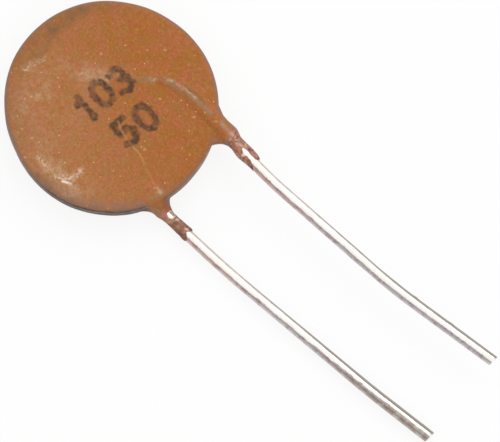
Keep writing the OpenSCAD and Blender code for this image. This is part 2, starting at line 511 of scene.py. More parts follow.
@dataclass(frozen=True)
class DipCoat:
    """Waxed orange-brown dip coat with stamped ink, dust, stains and wear, and with painted shade and
    highlights.
    """

    shade: Colour = (0.290, 0.080, 0.016)
    plum: Colour = (0.190, 0.060, 0.065)
    moss: Colour = (0.275, 0.172, 0.086)
    # Clean coat: broad drifts of amber and rose, finer ones of blush and gold, and a dense grain
    clean: Tone = Tone(
        (0.386, 0.126, 0.025),
        (
            ((0.378, 0.120, 0.009), Cloud(0.55, 2.0, 0.55, 0.38, 0.56)),
            ((0.385, 0.134, 0.035), Cloud(1.5, 2.0, 0.55, 0.50, 0.70, 0.0, 0.75)),
            ((0.430, 0.113, 0.042), Cloud(1.7, 1.0, 0.5, 0.46, 0.72, 0.0, 0.55)),
            ((0.330, 0.138, 0.017), Cloud(1.7, 1.0, 0.5, 0.54, 0.28, 0.0, 0.60)),
            (shade, Cloud(7.0, 4.0, 0.7, 0.52, 0.30, 0.0, 0.62)),
            ((0.540, 0.205, 0.055), Cloud(7.0, 4.0, 0.7, 0.50, 0.70, 0.0, 0.55)),
            (shade, Cloud(13.0, 2.0, 0.6, 0.46, 0.30, 0.0, 0.35)),
        ),
    )
    # Thin coat on the sleeves: red-brown with pinkish, mossy and plum patches
    mottled: Tone = Tone(
        (0.360, 0.135, 0.080),
        (
            ((0.640, 0.370, 0.250), Cloud(3.6, 4.0, 0.7, 0.40, 0.58)),
            (moss, Cloud(3.1, 4.0, 0.7, 0.50, 0.60, 0.0, 0.8)),
            (plum, Cloud(4.7, 4.0, 0.7, 0.54, 0.66, 0.0, 0.75)),
        ),
    )
    rubbed: Tone = Tone(
        (0.310, 0.185, 0.110), (((0.230, 0.180, 0.080), Cloud(3.4, 4.0, 0.7, 0.46, 0.62)),)
    )
    inky: Tone = Tone(
        (0.080, 0.030, 0.010), (((0.056, 0.034, 0.025), Cloud(2.8, 4.0, 0.7, 0.46, 0.60)),)
    )
    # Brown-purple painted shade for the near rim's wall
    rim_wall_shade_tone: Tone = Tone(
        (0.145, 0.066, 0.038), (((0.092, 0.027, 0.028), Cloud(2.6, 5.0, 0.75, 0.44, 0.62)),)
    )
    # What lies on the clean coat, from below, painted shade and highlights among it: mask, tone, and the
    # cloud that breaks the mask up
    layers: tuple[tuple[str, Tone, Cloud | None], ...] = (
        ("dust", Tone((0.480, 0.275, 0.150)), Cloud(4.2, 5.0, 0.8, 0.38, 0.62, 0.35, 1.15)),
        ("speck", Tone((0.720, 0.450, 0.180)), None),
        # Stains, with painted shade by the far and left rim and beside the ridge
        ("stain_and_shade", Tone((0.155, 0.088, 0.040)), None),
        ("worn", rubbed, Cloud(5.5, 4.0, 0.7, 0.34, 0.60, 0.40, 1.05)),
        # Pale scuffs, with a painted highlight along the ridge's crest
        ("scuff_and_highlight", Tone((0.770, 0.590, 0.430)), Cloud(8.5, 3.0, 0.7, 0.42, 0.58)),
        ("ink", inky, Cloud(5.0, 5.0, 0.75, 0.30, 0.60, 0.55, 1.0)),
        ("score", Tone((0.640, 0.350, 0.150)), None),
        ("thin", mottled, None),
        # Plum patches, with a streak of painted shadow behind the ridge's crest
        ("lip", Tone(plum), Cloud(4.5, 5.0, 0.7, 0.40, 0.58)),
        # Mauve-grey film with painted shade on the shoulder, on steep sides and under the front web
        ("veil_and_shade", Tone((0.210, 0.150, 0.125)), Cloud(6.5, 4.0, 0.75, 0.34, 0.60, 0.40, 1.10)),
        ("flush", Tone((0.660, 0.200, 0.170)), None),
        ("moss", Tone(moss), None),
        # Painted shade on the near rim's wall
        ("rim_wall_shade", rim_wall_shade_tone, None),
        # Near-black painted shade in the rim's crease and along its lower edge
        ("crease", Tone((0.020, 0.010, 0.011)), None),
        # Pale crumbs, with painted highlights
        ("chip_and_highlight", Tone((0.950, 0.780, 0.720)), None),
        # Painted highlights round the rear pit and on the sleeves
        ("painted_glint", Tone((0.950, 0.880, 0.740)), None),
    )
    gloss: Cloud = Cloud(3.0, 4.0, 0.6, 0.3, 0.7, 0.40, 0.58)
    dust_rough: float = 0.25
    fine: tuple[float, float, float] = (7.0, 4.0, 0.7)
    fine_share: float = 0.6
    broad: tuple[float, float] = (2.2, 3.0)
    skin_depth: float = 0.02
    # Pale specks: cells to a millimetre, a speck's size and strength, and which cells hold one
    speck_cells: float = 3.1
    speck_size: tuple[float, float, float, float] = (0.16, 0.07, 0.0, 0.85)
    speck_pick: Point2 = (0.54, 0.66)

    def build(self) -> bpy.types.Material:
        """Makes the material."""
        g = Finish("dip_coat")
        cells = g.node("TexVoronoi", {"Vector": g.mm, "Scale": self.speck_cells}).outputs
        specks = g.span(cells["Distance"], *self.speck_size)
        masks = {"speck": g.times(specks, g.span(cells["Color"], *self.speck_pick))}
        for name, channels in MASKS.items():
            masks.update(zip(channels, g.painted(name)))
        colour = g.tone(self.clean)
        for name, tone, gaps in self.layers:
            amount = g.times(masks[name], g.cloud(gaps)) if gaps else masks[name]
            colour = g.layer(colour, g.tone(tone), amount)
        rough = g.plus(g.cloud(self.gloss), masks["dust"], self.dust_rough)
        skin = g.plus(g.noise(*self.broad), g.noise(*self.fine), self.fine_share)
        normal = g.bump(skin, self.skin_depth, 0.55)
        g.set(Base_Color=colour, Roughness=rough, Specular_IOR_Level=0.28, Normal=normal)
        return g.material


@dataclass(frozen=True)
class TinnedWire:
    """Bright tin over copper, drawn lengthwise, with a film of coating by the body; a dull band along one
    side and a dark line along the other edge are painted reflection tinted as tarnish.
    """

    tin: Colour = (0.96, 0.94, 0.90)
    cloud: Colour = (0.95, 0.90, 0.78)
    # Mauve band of painted reflection, tinted as tarnish
    tarnish_and_reflection: Tone = Tone(
        (0.62, 0.56, 0.60), (((0.42, 0.35, 0.35), Cloud(3.0, 5.0, 0.7, 0.46, 0.62)),)
    )
    umber: Colour = (0.34, 0.26, 0.20)
    sage: Colour = (0.56, 0.57, 0.50)
    edge_reflection: Colour = (0.30, 0.25, 0.21)
    copper: Colour = (0.70, 0.34, 0.22)
    film: Colour = (0.36, 0.18, 0.14)
    clouding: Cloud = Cloud(1.4, 4.0, 0.65, 0.42, 0.66, 0.0, 0.9)
    greening: Cloud = Cloud(1.9, 5.0, 0.7, 0.48, 0.62, 0.0, 0.75)
    drawn: tuple[float, ...] = (1.0, 4.0, 0.7, 0.8, 14.0, 14.0)
    rag: tuple[float, float, float] = (2.6, 5.0, 0.7)
    # Shares across the wire where the dull band of painted reflection and tarnish, the dark line of
    # painted reflection and the coppery edge begin and end
    reflection_band_at: Point2 = (0.31, 0.26)
    edge_reflection_at: Point2 = (0.80, 0.87)
    copper_at: Point2 = (0.78, 0.88)

    def build(self) -> bpy.types.Material:
        """Makes the material."""
        g = Finish("tinned_wire")
        film, close, far = g.painted("wear")
        side, along = g.painted("round")[:2]
        drawn = g.noise(*self.drawn)
        ragged = g.math("SUBTRACT", g.noise(*self.rag), 0.5)
        lower = g.plus(g.plus(side, ragged, 0.46), far, -0.20)
        upper = g.plus(g.plus(side, ragged, 0.16), along, 0.13)
        # Painted reflection: a dull band on the wire's -Y side and a dark line on its +Y edge
        reflection_band = g.span(lower, *self.reflection_band_at)
        edge_reflection = g.times(g.span(upper, *self.edge_reflection_at), g.span(close, 0.0, 1.0, 0.9, 0.6))
        coppery = g.times(close, g.math("MAXIMUM", g.span(upper, *self.copper_at), reflection_band))
        dull = g.layer(g.tone(self.tarnish_and_reflection), self.umber, g.times(far, 0.70))
        dull = g.layer(dull, self.sage, g.cloud(self.greening))
        colour = g.layer(self.tin, self.cloud, g.cloud(self.clouding))
        colour = g.layer(colour, dull, reflection_band)
        colour = g.layer(colour, self.edge_reflection, edge_reflection)
        colour = g.layer(colour, self.copper, g.times(coppery, 0.35))
        colour = g.layer(colour, self.film, film)
        rough = g.plus(g.span(drawn, 0.3, 0.7, 0.10, 0.24), reflection_band, 0.15)
        bare = g.math("SUBTRACT", 1.0, film)
        g.set(Base_Color=colour, Metallic=bare, Roughness=rough, Normal=g.bump(drawn, 0.006, 0.4))
        return g.material


@dataclass(frozen=True)
class InnerFinish:
    """A plain finish with a cloudy grain, for a sealed inner piece."""

    name: str
    light: Colour
    dark: Colour
    rough: float
    metallic: float
    per_mm: float

    def build(self) -> bpy.types.Material:
        """Makes the material."""
        g = Finish(self.name)
        cloudy = g.noise(self.per_mm, 5.0, 0.65)
        g.set(
            Base_Color=g.layer(self.light, self.dark, g.span(cloudy, 0.35, 0.7)),
            Roughness=g.span(cloudy, 0.3, 0.7, self.rough, self.rough + 0.15),
            Metallic=self.metallic, Normal=g.bump(cloudy, 0.01, 0.4),
        )
        return g.material


# ---- The coated body ----


class NeckRing(NamedTuple):
    """One station of a neck: its place along the wire, and its reaches from the wire's axis."""

    along: float
    outer: float
    inner: float
    top: float
    under: float


@dataclass(frozen=True)
class Neck:
    """Coating that webs out of the rim or sheathes one lead, as rows of numbers for its rings."""

    path: LeadPath
    rows: tuple[tuple[float, ...], ...]
    segments: int = 40

    def add_to(self, bm: bmesh.types.BMesh) -> None:
        """Adds the neck's closed skin to a mesh."""
        rings = [NeckRing(0.0, 1.0, 1.0, 1.0, 1.0), *(NeckRing(*row) for row in self.rows)]
        across = Matrix.Rotation(math.radians(90), 4, "Y")
        first = bmesh.ops.create_circle(bm, segments=self.segments, radius=1.0, matrix=across)["verts"]
        self.reshape(first, *rings[:2])
        steps = len(rings) - 2
        made = sweep(bm, first, steps, lambda i, new: self.reshape(new, rings[i + 1], rings[i + 2]))
        bmesh.ops.transform(bm, matrix=self.path.placement(), verts=made)

    @staticmethod
    def reshape(verts: Verts, old: NeckRing, new: NeckRing) -> None:
        """Restretches a ring from one station's reaches to the next one's."""
        for v in verts:
            v.co.x = new.along
            v.co.y *= new.outer / old.outer if v.co.y > 0 else new.inner / old.inner
            v.co.z *= new.top / old.top if v.co.z > 0 else new.under / old.under


# Flat web and round sleeve of each lead
NECKS = (
    Neck(FRONT_PATH, (
        (3.6, 0.90, 1.90, 0.17, 1.10), (4.4, 0.60, 1.72, 0.17, 1.10), (4.8, 0.57, 1.30, 0.18, 1.05),
        (5.1, 0.56, 0.98, 0.19, 0.98), (5.25, 0.55, 0.74, 0.20, 0.92), (5.4, 0.53, 0.53, 0.21, 0.84),
        (5.6, 0.49, 0.41, 0.23, 0.70), (5.8, 0.44, 0.34, 0.25, 0.55), (6.1, 0.38, 0.30, 0.28, 0.40),
        (6.4, 0.28, 0.28, 0.28, 0.28),
    )),
    Neck(FRONT_PATH, (
        (3.3, 0.46, 0.46, 0.38, 0.40), (4.2, 0.50, 0.42, 0.38, 0.40), (4.6, 0.56, 0.40, 0.38, 0.40),
        (5.0, 0.59, 0.40, 0.38, 0.42), (5.4, 0.62, 0.42, 0.41, 0.42), (5.62, 0.56, 0.40, 0.41, 0.42),
        (5.85, 0.46, 0.355, 0.395, 0.41), (6.05, 0.45, 0.335, 0.39, 0.40),
        (6.25, 0.465, 0.39, 0.39, 0.40), (6.5, 0.475, 0.42, 0.39, 0.40),
        (6.75, 0.48, 0.40, 0.385, 0.39), (7.0, 0.475, 0.355, 0.375, 0.375),
        (7.2, 0.46, 0.335, 0.365, 0.36), (7.4, 0.40, 0.33, 0.35, 0.35),
        (7.7, 0.33, 0.325, 0.33, 0.33), (8.2, 0.325, 0.325, 0.325, 0.325),
    )),
    Neck(REAR_PATH, (
        (3.8, 1.20, 1.80, 0.17, 1.38), (4.6, 1.00, 1.50, 0.17, 1.38), (5.0, 0.66, 1.20, 0.18, 1.34),
        (5.2, 0.50, 1.00, 0.19, 1.27), (5.4, 0.42, 0.82, 0.20, 1.17), (5.6, 0.40, 0.64, 0.22, 1.02),
        (5.8, 0.38, 0.48, 0.25, 0.82), (6.0, 0.33, 0.40, 0.27, 0.60), (6.2, 0.29, 0.33, 0.28, 0.42),
        (6.5, 0.27, 0.27, 0.27, 0.27),
    )),
    Neck(REAR_PATH, (
        (3.3, 0.42, 0.42, 0.38, 0.38), (4.6, 0.38, 0.38, 0.38, 0.38), (5.2, 0.40, 0.38, 0.38, 0.40),
        (5.55, 0.42, 0.40, 0.38, 0.42), (5.75, 0.42, 0.40, 0.38, 0.42), (5.95, 0.36, 0.39, 0.37, 0.40),
        (6.2, 0.33, 0.355, 0.35, 0.37), (6.5, 0.33, 0.35, 0.345, 0.35), (6.9, 0.335, 0.365, 0.35, 0.36),
        (7.2, 0.335, 0.38, 0.35, 0.365), (7.4, 0.37, 0.40, 0.36, 0.37), (7.6, 0.35, 0.37, 0.35, 0.35),
        (8.0, 0.325, 0.325, 0.325, 0.325),
    )),
)


@dataclass(frozen=True)
class Ridge:
    """Hill of coating over the buried stretch of one lead."""

    path: LeadPath
    crest_r: float = 0.40
    foot_r: float = 0.85
    face_z: float = 0.24
    sunk: float = 0.03
    root_z: float = -0.2
    last_x: float = 3.5
    step: float = 0.1
    arc_steps: int = 6
    turn_steps: int = 32

    def half_section(self) -> list[Point2]:
        """Half of the hill's section from its crest to its root, as (reach, height)."""
        foot_z = self.face_z - self.sunk + self.foot_r
        foot_x = math.sqrt((self.crest_r + self.foot_r) ** 2 - foot_z**2)
        lean = math.atan2(foot_z, foot_x)
        quarter = math.pi / 2
        points = [(0.0, self.crest_r)]
        for i in range(1, self.arc_steps + 1):
            a = quarter + (lean - quarter) * i / self.arc_steps
            points.append((self.crest_r * math.cos(a), self.crest_r * math.sin(a)))
        for i in range(1, self.arc_steps + 1):
            a = lean + math.pi + (quarter - lean) * i / self.arc_steps
            points.append((foot_x + self.foot_r * math.cos(a), foot_z + self.foot_r * math.sin(a)))
        return points + [(foot_x, self.root_z), (0.0, self.root_z)]

    def add_to(self, bm: bmesh.types.BMesh) -> None:
        """Adds the hill and its round end to a mesh."""
        place = self.path.placement()
        outside = [m for m in self.path.outside(self.step) if m.translation.x < self.last_x]
        stations = [place @ m for m in self.path.buried(self.step) + outside]
        half = self.half_section()
        outline = half + [(-x, z) for x, z in reversed(half) if x > 0]
        verts = [bm.verts.new(stations[0] @ Vector((0, x, z))) for x, z in outline]
        for pair in zip(verts, verts[1:] + verts[:1]):
            bm.edges.new(pair)
        sweep_along(bm, verts, stations)
        spin_round(bm, half, stations[0], self.turn_steps)


@dataclass(frozen=True)
class CoatedBody:
    """The dipped body: a slightly uneven disc, two ridges and four necks under one skin."""

    radius: float = 5.64
    half_t: float = 0.85
    shoulder: float = 0.3
    crown: float = 0.06
    # How much of the crown the face has lost at each reach
    fall: tuple[Point2, ...] = ((0.0, 0.0), (2.0, 0.0), (3.6, 0.1), (4.6, 0.5))
    crease: float = 0.03
    crease_z: float = 0.47
    crease_w: float = 0.06
    turn_steps: int = 160
    voxel: float = 0.06
    smoothing: int = 7
    tuck_r: float = 0.262
    rag: float = 0.05
    # Where the sleeves begin along their wires, and how far round them their skin reaches
    sleeve_x: float = 5.7
    sleeve_r: float = 0.8
    # Reach of each sleeve at angles round its wire, 0 being outwards and 90 away from the disc
    ends: tuple[tuple[LeadPath, tuple[Point2, ...]], ...] = (
        (FRONT_PATH, (
            (-90, 7.40), (0, 7.40), (40, 7.36), (54, 7.25), (61, 6.70), (68, 6.38), (90, 6.38),
            (97, 6.52), (106, 7.15), (125, 7.42), (150, 7.55), (185, 7.62), (225, 7.50), (270, 7.40),
        )),
        (REAR_PATH, (
            (-90, 7.38), (-65, 7.50), (-45, 7.66), (0, 7.64), (90, 7.55), (180, 7.50), (225, 7.46),
            (270, 7.38),
        )),
    )
    # Bare places on the sleeves' front: along and across the wire, and radius
    pits: tuple[tuple[LeadPath, float, float, float], ...] = (
        (FRONT_PATH, 6.68, 0.07, 0.22), (REAR_PATH, 6.13, -0.19, 0.20),
    )
    # The outline's reach at angles from +X, as a share of the radius
    outline: tuple[Point2, ...] = (
        (-40, 1.006), (0, 0.997), (30, 1.0), (60, 0.998), (78, 0.989), (95, 0.981), (120, 0.983),
        (140, 0.994), (165, 0.999), (195, 0.999), (220, 0.977), (245, 0.965), (268, 0.982),
        (290, 0.994), (310, 1.003),
    )

    def build(self) -> bpy.types.Object:
        """Makes the body.

        Returns:
            The finished piece.
        """
        bm = bmesh.new()
        spin_round(bm, self.half_section(), Matrix.Translation((0, 0, self.half_t)), self.turn_steps)
        for piece in (Ridge(FRONT_PATH), Ridge(REAR_PATH), *NECKS):
            piece.add_to(bm)
        bmesh.ops.recalc_face_normals(bm, faces=bm.faces)
        mesh = self.one_skin(bm)
        points = self.sculpt(vectors(mesh.vertices, "co"))
        set_places(mesh, points)
        CoatPaint(self, points, vectors(mesh.vertex_normals, "vector")).apply(mesh)
        return finished("coated_body", mesh, DipCoat().build())

    def half_section(self) -> list[Point2]:
        """Half of the disc's section, from the front's centre round the rim to the back's."""
        inner, top = self.radius - self.shoulder, self.half_t
        upper = [(reach, top - lost * self.crown) for reach, lost in self.fall]
        for a in (math.radians(90 - 15 * i) for i in range(7)):
            height = top - self.crown - self.shoulder * (1 - math.sin(a))
            upper.append((inner + self.shoulder * math.cos(a), height))
        return upper + [(x, -z) for x, z in reversed(upper)]

    def one_skin(self, bm: bmesh.types.BMesh) -> bpy.types.Mesh:
        """Fuses overlapping shells into one even skin.

        Args:
            bm: the shells; it is freed.

        Returns:
            The fused mesh, still in millimetres.
        """
        rough = made_mesh("coating_shells", bm)
        holder = linked(bpy.data.objects.new("coating_shells", rough))
        remesh = holder.modifiers.new("skin", "REMESH")
        remesh.mode = "VOXEL"
        remesh.voxel_size = self.voxel
        depsgraph = bpy.context.evaluated_depsgraph_get()
        fused = bpy.data.meshes.new_from_object(holder.evaluated_get(depsgraph))
        bpy.data.objects.remove(holder)
        bpy.data.meshes.remove(rough)
        bm = bmesh.new()
        bm.from_mesh(fused)
        all_ways = {"use_axis_x": True, "use_axis_y": True, "use_axis_z": True}
        for _ in range(self.smoothing):
            bmesh.ops.smooth_vert(bm, verts=bm.verts, factor=0.5, **all_ways)
        bmesh.ops.recalc_face_normals(bm, faces=bm.faces)
        bm.to_mesh(fused)
        bm.free()
        return fused

    def sculpt(self, points: np.ndarray) -> np.ndarray:
        """Gives the skin its uneven outline, faint lumps, rim crease and ragged sleeve ends.

        Args:
            points: vertex places in millimetres.

        Returns:
            The new places.
        """
        points = points.copy()
        height = points[:, 2] - self.half_t
        reach = np.hypot(points[:, 0], points[:, 1])
        body = ease(reach, 6.4, 5.8) * ease(reach, 0.5, 4.5)
        share = 1.0 + (self.edge_reach(points) / self.radius - 1.0) * body
        share += 0.0015 * grain(points * (1, 1, 0), 0.7, 1.0, 2) * body
        wall = ease(reach, 5.3, 5.5) * body
        for level in (self.crease_z, -self.crease_z):
            line = np.exp(-(((height - level) / self.crease_w) ** 2))
            share -= self.crease / self.radius * wall * line
        points[:, :2] *= share[:, None]
        lump = grain(points, 0.35, 2.0, 2) * 0.02 + grain(points, 1.4, 3.0, 2) * 0.006
        points[:, 2] += lump * ease(height, 0.5, 0.75) * ease(reach, 6.2, 5.4)
        for path, ends in self.ends:
            points = self.tuck(points, path, ends)
        for path, *where in self.pits:
            points = self.pit(points, path, *where)
        return points

    def edge_reach(self, points: np.ndarray) -> np.ndarray:
        """The uneven outline's distance from the middle, in the direction of each place."""
        turns, shares = zip(*self.outline)
        return self.radius * np.interp(heading(points), turns, shares, period=360.0)

    def tuck(self, points: np.ndarray, path: LeadPath, ends: Sequence[Point2]) -> np.ndarray:
        """Draws a sleeve's skin into the wire past its ragged end.

        Args:
            points: vertex places in millimetres.
            path: the lead that the sleeve is on.
            ends: the sleeve's reach at angles round the wire, 0 being outwards and 90 on top.

        Returns:
            The new places.
        """
        local = in_run(points, path)
        near = self.by_sleeve(local)
        some = local[near]
        round_wire = (heading(some[:, 1:]) + 90.0) % 360.0 - 90.0
        end = np.interp(round_wire, *zip(*ends)) + self.rag * grain(some * (0.3, 1, 1), 3.0, 4.0, 3)
        local[near] = self.sink(some, ease(some[:, 0] - end, -0.05, 0.07))
        return out_of_run(local, path)

    def pit(
        self, points: np.ndarray, path: LeadPath, along: float, across: float, radius: float
    ) -> np.ndarray:
        """Opens a small round pit in a sleeve's front, down to the wire.

        Args:
            points: vertex places in millimetres.
            path: the lead that the sleeve is on.
            along: its place along the wire.
            across: its place across the wire.
            radius: its radius.

        Returns:
            The new places.
        """
        local = in_run(points, path)
        near = self.by_sleeve(local)
        some = local[near]
        facing = (some[:, 2] < 0) if path.side is Side.REAR else (some[:, 2] > 0)
        gap = np.hypot(some[:, 0] - along, some[:, 1] - across) - radius
        local[near] = self.sink(some, ease(gap, 0.04, -0.04) * facing)
        return out_of_run(local, path)

    def by_sleeve(self, local: np.ndarray) -> np.ndarray:
        """Which places of a lead's run frame lie by its sleeve."""
        return (local[:, 0] > self.sleeve_x) & (np.hypot(local[:, 1], local[:, 2]) < self.sleeve_r)

    def sink(self, some: np.ndarray, amount: np.ndarray) -> np.ndarray:
        """Draws places towards the wire's axis until they lie under its surface."""
        away = np.hypot(some[:, 1], some[:, 2])
        scale = 1.0 + (self.tuck_r / np.maximum(away, self.tuck_r) - 1.0) * amount
        return some * np.c_[np.ones(len(some)), scale, scale]


def heading(points: np.ndarray) -> np.ndarray:
    """Direction of each place from the first two of its numbers, in degrees."""
    return np.degrees(np.arctan2(points[:, 1], points[:, 0]))


def moved(points: np.ndarray, matrix: Matrix) -> np.ndarray:
    """Places carried by a matrix."""
    return (np.array(matrix) @ np.c_[points, np.ones(len(points))].T).T[:, :3]


def in_run(points: np.ndarray, path: LeadPath) -> np.ndarray:
    """Places of the part's frame in a lead's run frame."""
    return moved(points, path.placement().inverted())


def out_of_run(local: np.ndarray, path: LeadPath) -> np.ndarray:
    """Places of a lead's run frame in the part's frame."""
    return moved(local, path.placement())


# ---- Paint on the coat ----


@dataclass(frozen=True)
class Stroke:
    """A soft line of paint: its points, half its width, how far its edge fades, and its strength."""

    line: tuple[Point2, ...]
    half_width: float
    soft: float
    strength: float = 1.0

    def on(self, flat: np.ndarray) -> np.ndarray:
        """Paints along the line.

        Args:
            flat: places seen from above, one a row.

        Returns:
            A mask of one number a place.
        """
        nearest = np.full(len(flat), np.inf)
        for start, end in zip(self.line, self.line[1:]):
            a, b = np.array(start), np.array(end)
            along = b - a
            share = np.clip((flat - a) @ along / max(along @ along, 1e-9), 0.0, 1.0)
            nearest = np.minimum(nearest, np.linalg.norm(flat - a - share[:, None] * along, axis=1))
        outer, inner = self.half_width + self.soft, self.half_width - self.soft
        return self.strength * ease(nearest, outer, inner)


@dataclass(frozen=True)
class Blot:
    """A soft oval of paint: its middle, its half lengths, its turn and its strength."""

    centre: Point2
    reach: Point2
    turn: float = 0.0
    strength: float = 1.0

    def on(self, flat: np.ndarray) -> np.ndarray:
        """Paints the oval.

        Args:
            flat: places seen from above, one a row.

        Returns:
            A mask of one number a place.
        """
        c, s = math.cos(math.radians(self.turn)), math.sin(math.radians(self.turn))
        off = flat - np.array(self.centre)
        a = (off[:, 0] * c + off[:, 1] * s) / self.reach[0]
        b = (off[:, 1] * c - off[:, 0] * s) / self.reach[1]
        return self.strength * np.exp(-(a * a + b * b))


Marks = tuple[Stroke | Blot, ...]


def blots(strength: float, reach: Point2, turn: float, *centres: Point2) -> Marks:
    """Blots of one size and strength at several places."""
    return tuple(Blot(centre, reach, turn, strength) for centre in centres)


def strokes(half_width: float, soft: float, strength: float, *lines: tuple[Point2, ...]) -> Marks:
    """Strokes of one width and strength along several lines."""
    return tuple(Stroke(line, half_width, soft, strength) for line in lines)


class Brush:
    """Paints soft masks on vertices from above."""

    def __init__(self, points: np.ndarray, tremble: float = 0.0) -> None:
        """Keeps the places that are painted, shifted a little so that edges come out ragged."""
        shift = [tremble * grain(points, 2.6, seed, 3) for seed in (20.0, 21.0)]
        self.flat = points[:, :2] + np.column_stack(shift)

    def most(self, marks: Marks) -> np.ndarray:
        """The strongest of several marks at each place."""
        return np.maximum.reduce([mark.on(self.flat) for mark in marks])

    def total(self, marks: Marks) -> np.ndarray:
        """The sum of several marks at each place."""
        return np.sum([mark.on(self.flat) for mark in marks], axis=0)


# Stroke of each figure in a box one high, origin at its middle
FIGURES: dict[str, tuple[Point2, ...]] = {
    "0": (
        (0, 0.5), (-0.22, 0.4), (-0.3, 0.15), (-0.3, -0.15), (-0.22, -0.4), (0, -0.5), (0.22, -0.4),
        (0.3, -0.15), (0.3, 0.15), (0.22, 0.4), (0, 0.5),
    ),
    "1": ((-0.16, 0.3), (0.04, 0.5), (0.04, -0.5)),
    "3": (
        (-0.26, 0.4), (0, 0.5), (0.23, 0.4), (0.24, 0.15), (0, 0.03), (0.27, -0.1), (0.28, -0.36),
        (0.02, -0.5), (-0.28, -0.4),
    ),
    "5": (
        (0.27, 0.5), (-0.22, 0.5), (-0.25, 0.06), (0.05, 0.1), (0.28, -0.1), (0.24, -0.38), (0, -0.5),
        (-0.28, -0.4),
    ),
}


@dataclass(frozen=True)
class Stamp:
    """Plain numbers stamped on the front face in two short lines."""

    height: float = 1.36
    half_stroke: float = 0.180
    soft: float = 0.07
    turn: float = 80.4
    # Figure, and its middle along and above the face's centre in the direction of reading
    layout: tuple[tuple[str, float, float], ...] = (
        ("1", -1.12, 0.66), ("0", 0.02, 0.72), ("3", 1.22, 0.62), ("5", -0.34, -1.62), ("0", 0.92, -1.70),
    )

    def marks(self) -> Marks:
        """Strokes of all its figures on the face."""
        c, s = math.cos(math.radians(self.turn)), math.sin(math.radians(self.turn))
        made = []
        for figure, along, above in self.layout:
            spots = [(along + u * self.height, above + v * self.height) for u, v in FIGURES[figure]]
            line = tuple((a * c - b * s, a * s + b * c) for a, b in spots)
            made.append(Stroke(line, self.half_stroke, self.soft))
        return tuple(made)


# Lines that more than one mask follows
LEFT_SCUFF = ((-4.61, -1.48), (-4.58, -1.28), (-4.51, -0.95), (-4.34, -0.67), (-4.17, -0.39))
NECK_STREAK = ((5.10, 2.90), (5.37, 2.87), (5.65, 2.83), (5.83, 2.77))

# Bright crumbs by the near edge, each with its strength
CRUMBS = (
    ((1.10, -4.55), 0.75), ((0.68, -4.60), 0.55), ((0.91, -4.38), 0.65), ((0.89, -4.30), 0.45),
    ((1.11, -4.04), 0.35), ((1.05, -3.74), 0.40),
)


